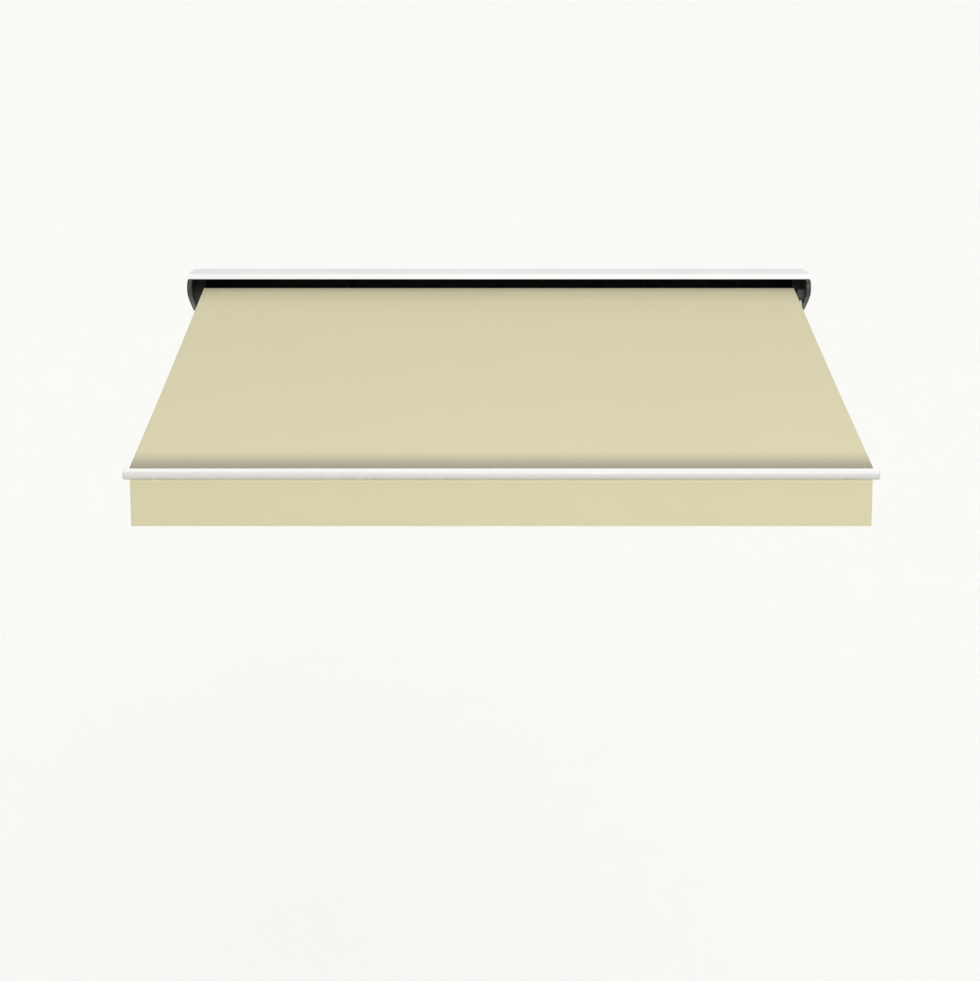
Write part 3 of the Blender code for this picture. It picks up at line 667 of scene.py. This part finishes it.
# %% Fold the hood
hood_low, hood_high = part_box("hood")
HOOD_SHEET = 0.0022
HOOD_BACK_DEPTH = 0.001
HOOD_BACK_FOOT = 0.105
HOOD_LIP_FOOT = 0.159
hood_width = hood_high.x - hood_low.x
hood_front = -hood_low.y
HOOD_FALL = 0.25


def under_hood(depth, below=0.0):
    """A point of the side section on the hood's sloping top, or below it."""
    return (depth, hood_high.z - HOOD_FALL * (depth - HOOD_BACK_DEPTH) - below)


hood_line = [
    (HOOD_BACK_DEPTH, HOOD_BACK_FOOT), under_hood(HOOD_BACK_DEPTH), under_hood(hood_front),
    (hood_front, HOOD_LIP_FOOT),
]
hood = draw("hood_sheet", section(hood_line, hood_low.x), closed=False)
carry((hood_width, 0, 0))
bpy.ops.mesh.select_mode(type="EDGE")
pick(hood, "edges", lambda e, at: abs(at.x) < 0.01 and abs(at.y - hood_low.y) < 1e-4 and at.z > 0.17)
bpy.ops.mesh.bevel(offset=0.0072, segments=7, affect="EDGES")
pick(hood, "edges", lambda e, at: abs(at.x) < 0.01 and abs(at.z - hood_high.z) < 1e-4)
bpy.ops.mesh.bevel(offset=0.003, segments=3, affect="EDGES")
settle(hood)
hood.data.materials.append(hood_paint)
hood.data.materials.append(painted_shade_black)
apply_modifier(hood, "SOLIDIFY", thickness=HOOD_SHEET, offset=-1.0, material_offset=1, material_offset_rim=0)
apply_modifier(hood, "BEVEL", width=0.0005, segments=2, limit_method="ANGLE", angle_limit=math.radians(60))
settle(hood)
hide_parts("hood", "hood_back")
print("hood", round(hood_width, 2), "m wide,", len(hood.data.polygons), "faces")

# %% [markdown]
# ## The hood's end caps
#
# Each end of the hood is closed by a moulded dish. Its outline is flat on top, bulges round the roller in
# front and tapers back to the wall. By hand, the outline is drawn and filled at the outer end, extruded
# inwards, and the inner face is inset and extruded back out, which leaves a thin rim all round. The rim's
# part along the wall is extruded further in, as a wing that closes the view past the roller's end. A
# shallow inset on the outside gives the step that mouldings have, and a small bevel softens every edge so
# that it catches the light.

# %% Mould the end caps
CAP_DEPTH = 0.022
CAP_RIM = 0.003
CAP_WING = 0.034
CAP_BORDER = 0.007
CAP_STEP = 0.0010
WING_LIMIT = -0.0075
cap_top = [under_hood(depth, below=HOOD_SHEET + 0.0005) for depth in (0.004, 0.190)]
cap_outline = [
    *cap_top, (0.1965, 0.177), (0.1970, 0.1585), *arc((0.188, 0.118), 0.040, 0.040, 68, -48, 16),
    (0.209, 0.0815), (0.182, 0.0690), (0.141, 0.0550), (0.057, 0.0320), (0.012, 0.0240), (0.004, 0.0300),
]


def end_cap(side, sign):
    """One moulded dish, open towards the roller."""
    outer = sign * hood_width / 2
    cap = draw("cap_dish_" + side, section(cap_outline, outer))
    carry((-sign * CAP_DEPTH, 0, 0))
    bpy.ops.mesh.select_mode(type="FACE")
    inner = outer - sign * CAP_DEPTH
    pick(cap, "faces", lambda f, at: abs(at.x - inner) < 1e-4)
    bpy.ops.mesh.inset(thickness=CAP_RIM, depth=0.0)
    carry((sign * (CAP_DEPTH - CAP_RIM), 0, 0))

    def on_rim_by_the_wall(face, at):
        return abs(at.x - inner) < 1e-4 and at.y > WING_LIMIT and at.z > 0.05

    wall_side = pick(cap, "faces", on_rim_by_the_wall)
    carry((-sign * CAP_WING, 0, 0))
    pick(cap, "faces", lambda f, at: abs(at.x - outer) < 1e-4)
    bpy.ops.mesh.inset(thickness=CAP_BORDER, depth=0.0)
    bpy.ops.mesh.inset(thickness=0.0012, depth=0.0)
    bpy.ops.transform.translate(value=(-sign * CAP_STEP, 0, 0))
    close_outward(cap)
    settle(cap)
    apply_modifier(cap, "BEVEL", width=0.0009, segments=3, limit_method="ANGLE", angle_limit=math.radians(50))
    settle(cap, smooth_below=40)
    cap.data.materials.append(dark_plastic)
    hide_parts("hood_end_cap_" + side)
    print(cap.name, "has its wing drawn from", wall_side, "face of the rim")
    return cap


end_caps = [end_cap("left", -1), end_cap("right", 1)]
print("end caps:", [len(cap.data.polygons) for cap in end_caps], "faces")

# %% [markdown]
# ## Screws
#
# The caps are held by small pan-head screws. One screw is modelled, a short cylinder with a rounded head
# and a round socket, and then copied to each place with a mesh of its own.

# %% Make one screw and copy it
SCREW_RADIUS = 0.0042
SCREW_HEIGHT = 0.0024
SOCKET = 0.0012
SCREW_PROUD = 0.0009
CAP_SCREW_PLACES = ((0.030, 0.190), (0.030, 0.060), (0.190, 0.120))


def model_screw():
    """A pan-head screw at the origin, its head towards +X."""
    deselect_all()
    bpy.ops.mesh.primitive_cylinder_add(
        vertices=24, radius=SCREW_RADIUS, depth=SCREW_HEIGHT, rotation=(0, math.pi / 2, 0)
    )
    piece = bpy.context.object
    bpy.ops.object.transform_apply(location=True, rotation=True, scale=True)
    bpy.ops.object.mode_set(mode="EDIT")
    bpy.ops.mesh.select_mode(type="FACE")
    pick(piece, "faces", lambda f, at: at.x > SCREW_HEIGHT / 2 - 0.0001)
    bpy.ops.mesh.bevel(offset=0.0009, segments=3, affect="EDGES")
    pick(piece, "faces", lambda f, at: at.x > SCREW_HEIGHT / 2 - 0.00001)
    bpy.ops.mesh.inset(thickness=SOCKET, depth=0.0)
    carry((-SOCKET, 0, 0))
    close_outward(piece)
    settle(piece)
    return piece


def place_screw(name, x, depth, height, sign):
    """A copy of the screw on a face that looks along X."""
    deselect_all()
    bpy.context.view_layer.objects.active = screw
    screw.select_set(True)
    bpy.ops.object.duplicate(linked=False)
    piece = bpy.context.object
    piece.name = piece.data.name = name
    piece.scale = (sign, 1, 1)
    piece.location = (x + sign * SCREW_PROUD, -depth, height)
    settle(piece)
    bpy.ops.object.mode_set(mode="EDIT")
    close_outward(piece)
    bpy.ops.object.mode_set(mode="OBJECT")
    piece.data.materials.append(bright_steel)
    return piece


screw = model_screw()
cap_screws = []
for side, sign in (("left", -1), ("right", 1)):
    for count, (depth, height) in enumerate(CAP_SCREW_PLACES):
        x = sign * (hood_width / 2 - CAP_STEP)
        cap_screws.append(place_screw(f"cap_screw_{side}_{count + 1}", x, depth, height, sign))
print("cap screws:", len(cap_screws))

# %% [markdown]
# ## The front bar
#
# The front bar is an aluminium extrusion, so its section is the whole shape: a round nose, a groove on top
# that holds the cloth, one underneath that holds the valance, and a T-slot for the arms. The section is
# drawn once and extruded along the bar. The nose is an ellipse of many short steps, so that its highlight
# runs smoothly.

# %% Extrude the front bar
bar_back, bar_under, bar_top = -bar_high.y, bar_low.z, bar_high.z
NOSE_HALF = (0.0270, 0.0215)
nose = (-bar_low.y - NOSE_HALF[0], (bar_low.z + bar_high.z) / 2)
cloth_groove = (nose[0] - 0.0115, bar_top - 0.0090)
valance_groove = (nose[0] - 0.0030, bar_under + 0.0070)
GROOVE = 0.0042
MOUTH = 0.0015
SLOT = bar_back + 0.0145
SLOT_MOUTH = 0.005
SLOT_WIDE = 0.009
SLOT_LIP = bar_under + 0.002
SLOT_TOP = bar_under + 0.008
CHAMFER = 0.004
BACK_TOP = bar_top - 0.018
SHOULDER = bar_top - 0.004
bar_outline = [
    *arc(nose, *NOSE_HALF, 90, -90, 36),
    (valance_groove[0] + MOUTH, bar_under), *arc(valance_groove, GROOVE, GROOVE, -69, 249, 12),
    (valance_groove[0] - MOUTH, bar_under),
    (SLOT + SLOT_MOUTH, bar_under), (SLOT + SLOT_MOUTH, SLOT_LIP),
    (SLOT + SLOT_WIDE, SLOT_LIP), (SLOT + SLOT_WIDE, SLOT_TOP),
    (SLOT - SLOT_WIDE, SLOT_TOP), (SLOT - SLOT_WIDE, SLOT_LIP),
    (SLOT - SLOT_MOUTH, SLOT_LIP), (SLOT - SLOT_MOUTH, bar_under),
    (bar_back + CHAMFER, bar_under), (bar_back, bar_under + CHAMFER), (bar_back, BACK_TOP),
    (bar_back + 0.005, SHOULDER), (bar_back + 0.011, bar_top),
    (cloth_groove[0] - MOUTH, bar_top), *arc(cloth_groove, GROOVE, GROOVE, 111, 429, 12),
    (cloth_groove[0] + MOUTH, bar_top),
]
bar = draw("front_bar_profile", section(bar_outline, bar_low.x))
carry((bar_high.x - bar_low.x, 0, 0))
close_outward(bar)
settle(bar, smooth_below=25)
bar.data.materials.append(bar_paint)
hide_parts("front_bar")
print("front bar", round(bar_high.x - bar_low.x, 2), "m long,", len(bar.data.polygons), "faces")

# %% [markdown]
# ## The front bar's end caps
#
# A thin moulded plate closes each end of the bar. It follows the bar's outline a fraction larger, which
# hides the saw cut. Its outer edge is bevelled generously, and one screw holds it.

# %% Mould the bar's end caps
cap_low, cap_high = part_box("front_bar_cap_right")
LAP = 0.0004
bar_cap_outline = [
    *arc(nose, NOSE_HALF[0] + LAP, NOSE_HALF[1] + LAP, 90, -90, 28), (bar_back + CHAMFER, bar_under - LAP),
    (bar_back - LAP, bar_under + CHAMFER), (bar_back - LAP, BACK_TOP),
    (bar_back + 0.005 - LAP, SHOULDER + 0.0005), (bar_back + 0.011, bar_top + LAP),
]
for side, sign in (("left", -1), ("right", 1)):
    plate = draw("bar_plate_" + side, section(bar_cap_outline, sign * cap_low.x))
    carry((sign * (cap_high.x - cap_low.x), 0, 0))
    close_outward(plate)
    settle(plate)
    bpy.ops.object.mode_set(mode="EDIT")
    bpy.ops.mesh.select_mode(type="FACE")
    pick(plate, "faces", lambda f, at: abs(at.x - sign * cap_high.x) < 1e-4)
    bpy.ops.mesh.bevel(offset=0.0014, segments=3, affect="EDGES")
    settle(plate, smooth_below=50)
    plate.data.materials.append(bar_paint)
    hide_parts("front_bar_cap_" + side)
    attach(plate, "front_bar")
    held = place_screw("bar_screw_" + side, sign * cap_high.x, nose[0], nose[1], sign)
    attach(held, "front_bar")
print("bar end caps: 2")

# %% [markdown]
# ## Finishes for the engineering parts
#
# Brackets, tubes, hinges and bolts already have their true shapes, so they only need finishes. Each part's
# finish follows from its name. The imported placeholder finish is replaced in every slot.

# %% Give the engineering parts their finishes
# The roller's end plates and the hood's supports get the near-black painted shade.
finish_of = {
    "torsion_bar": zinc_steel, "roller_end_plate": painted_shade_black, "roller_tube": zinc_steel,
    "wall_bracket": bracket_paint, "clamp_plate": bracket_paint, "clamp_bolt": bright_steel,
    "hood_support": painted_shade_black, "idler_bearing": black_plastic, "gearbox": black_plastic,
    "roller_plug": black_plastic, "canvas_rod": black_plastic, "valance_rod": black_plastic,
    "gear_wheel": bright_steel, "worm": bright_steel, "crank_eye": bright_steel,
    "shoulder_bracket": arm_casting, "shoulder_knuckle": arm_casting, "elbow_fork": arm_casting,
    "elbow_tongue": arm_casting, "wrist_knuckle": arm_casting, "wrist_bracket": arm_casting,
    "shoulder_pin": bright_steel, "elbow_pin": bright_steel, "wrist_pin": bright_steel,
    "upper_arm_tube": arm_paint, "forearm_tube": arm_paint, "arm_spring": spring_steel,
}
finished = 0
for name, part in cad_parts.items():
    if part.hide_render:
        continue
    start = next(key for key in finish_of if name.startswith(key))
    part.data.materials.clear()
    part.data.materials.append(finish_of[start])
    finished += 1
print("engineering parts finished:", finished)

# %% [markdown]
# ## What moves with what
#
# Every piece rides on the body of the part that it stands for. The big cloth and its hems stay with the
# wall side, each with a mesh of its own. The valance and the bar's pieces ride on the front bar, and the
# turns ride on the roller.

# %% Attach the pieces
for piece in (hood, *end_caps, *cap_screws):
    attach(piece, "root")
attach(bar, "front_bar")
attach(valance, "front_bar")
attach(turns, "roller")
for piece in (canvas, *hems):
    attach(piece, "root")
    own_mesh(piece)
bpy.data.objects.remove(screw, do_unlink=True)

# %% [markdown]
# ## The studio
#
# The awning hangs in a plain pale studio. The floor is a wide disc whose edge turns up in a large soft
# curve, so no line of a horizon cuts through the picture from any side. It is drawn as one section and spun
# round. One broad soft light stands in front above the camera, and a nearly white surround fills the rest.
# The floor lies well below the awning, so that its arms can also be looked at from underneath.

# %% Build the studio and its lights
FLOOR = -8.0
FLAT_RADIUS = 13.0
CURVE = 6.0
WALL_TOP = 14.0
studio_section = [(0, -0.001, FLOOR), (0, -FLAT_RADIUS, FLOOR)]
for t in spread(0.12, math.pi / 2, 12):
    studio_section.append((0, -FLAT_RADIUS - CURVE * math.sin(t), FLOOR + CURVE * (1 - math.cos(t))))
studio_section.append((0, -FLAT_RADIUS - CURVE, WALL_TOP))
studio = draw("studio_floor", studio_section, closed=False)
bpy.ops.mesh.spin(steps=96, angle=math.tau, center=(0, 0, 0), axis=(0, 0, 1))
bpy.ops.mesh.select_all(action="SELECT")
bpy.ops.mesh.remove_doubles(threshold=0.002)
bpy.ops.mesh.normals_make_consistent(inside=True)
settle(studio, smooth_below=60)
studio_paint, _, studio_shader = start_finish("studio_paint", 0.9)
studio_shader.inputs["Base Color"].default_value = (0.86, 0.86, 0.85, 1.0)
studio_shader.inputs["Emission Color"].default_value = (1.0, 1.0, 1.0, 1.0)
studio_shader.inputs["Emission Strength"].default_value = 0.15
studio.data.materials.append(studio_paint)

world = bpy.data.worlds.new("studio_surround")
world.use_nodes = True
world.node_tree.nodes["Background"].inputs["Color"].default_value = (1.0, 0.995, 0.985, 1.0)
world.node_tree.nodes["Background"].inputs["Strength"].default_value = 0.85
bpy.context.scene.world = world


def soft_light(name, place, target, size, power):
    """A large square light that looks at a target."""
    bpy.ops.object.light_add(type="AREA", location=place)
    light = bpy.context.object
    light.name = name
    light.data.shape = "SQUARE"
    light.data.size = size
    light.data.energy = power
    light.rotation_euler = (Vector(target) - Vector(place)).to_track_quat("-Z", "Y").to_euler()
    return light


soft_light("key_light", (1.5, -10.5, 2.8), (0, -1.0, -0.3), 4.0, 430.0)
bpy.context.scene.view_settings.view_transform = "Standard"
print("studio ready")
